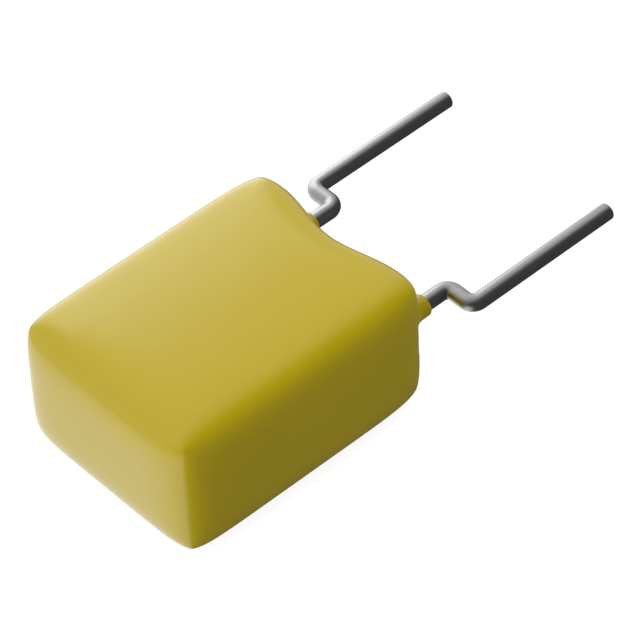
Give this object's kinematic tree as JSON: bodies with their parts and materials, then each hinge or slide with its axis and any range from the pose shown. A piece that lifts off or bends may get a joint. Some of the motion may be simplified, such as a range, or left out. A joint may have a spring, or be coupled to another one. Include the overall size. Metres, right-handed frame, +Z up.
{
  "type": "multilayer ceramic capacitor",
  "caption": "Radial-lead multilayer ceramic capacitor: a layered ceramic chip in a rounded yellow dipped epoxy body, with kinked tinned wire leads for a circuit board.",
  "frame": {"origin": "on the broad face that it lies on, under the middle of its overall length and width", "axes": "+X across the leads, +Y along the leads towards their tips, +Z up from the face that it lies on"},
  "size_m": [0.0056, 0.0126, 0.0037],
  "materials": {
    "coating": "smooth glossy dipped epoxy, olive yellow",
    "dielectric": "matt fired ceramic, tan",
    "electrode": "dull fired nickel",
    "end_cap": "satin plated tin",
    "solder": "bright solder, slightly grained",
    "tinned_wire": "bright tinned wire with faint drawing lines"
  },
  "bodies": {
    "root": {"epoxy_coating": "coating", "ceramic_block": "dielectric", "left_electrodes": "electrode", "right_electrodes": "electrode", "left_end_cap": "end_cap", "right_end_cap": "end_cap", "left_solder_joint": "solder", "right_solder_joint": "solder", "left_lead": "tinned_wire", "right_lead": "tinned_wire"}
  },
  "joints": []
}
